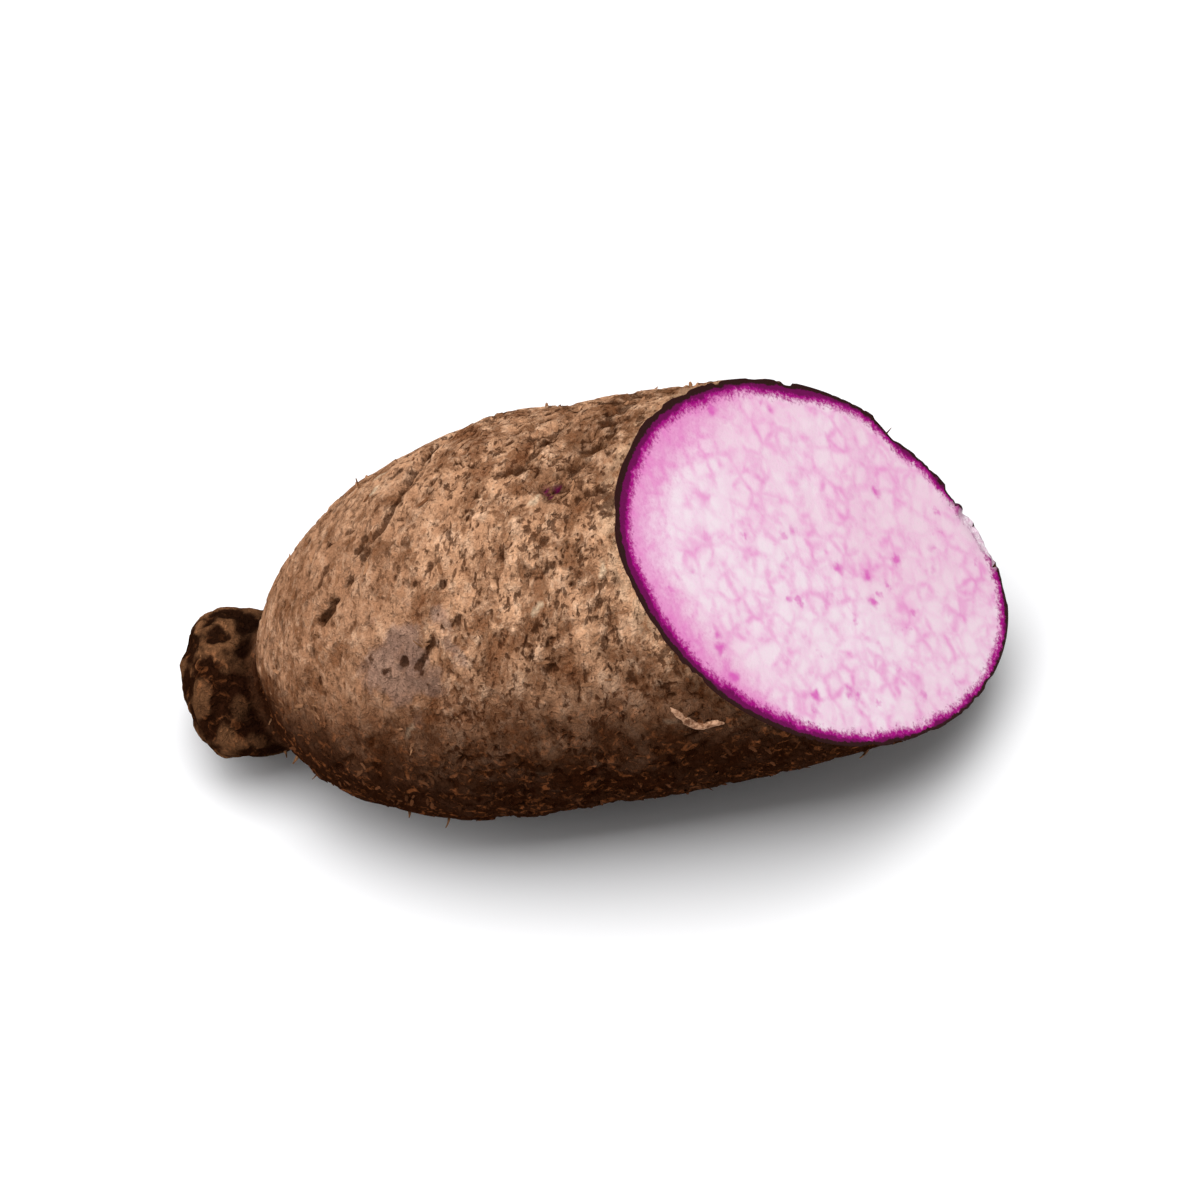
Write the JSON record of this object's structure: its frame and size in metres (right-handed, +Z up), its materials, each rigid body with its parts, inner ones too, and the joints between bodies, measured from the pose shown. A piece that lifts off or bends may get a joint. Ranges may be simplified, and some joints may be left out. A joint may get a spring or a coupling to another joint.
{
  "type": "purple yam half",
  "caption": "Cut half of a purple yam tuber: rough brown bark-like skin, a dark vine knob at the closed end and a flat slanting cut that shows marbled pink-purple flesh.",
  "frame": {"origin": "on the surface that the tuber rests on, under the middle of its bounding box", "axes": "+X along the tuber from the vine knob to the cut end, +Z up; the cut face looks towards +X, +Z and a little towards -Y"},
  "size_m": [0.1734, 0.084, 0.0829],
  "materials": {
    "yam": "rough corky brown skin, with moist pink-purple flesh on the cut face"
  },
  "bodies": {
    "root": {"yam_half": "yam"}
  },
  "joints": []
}
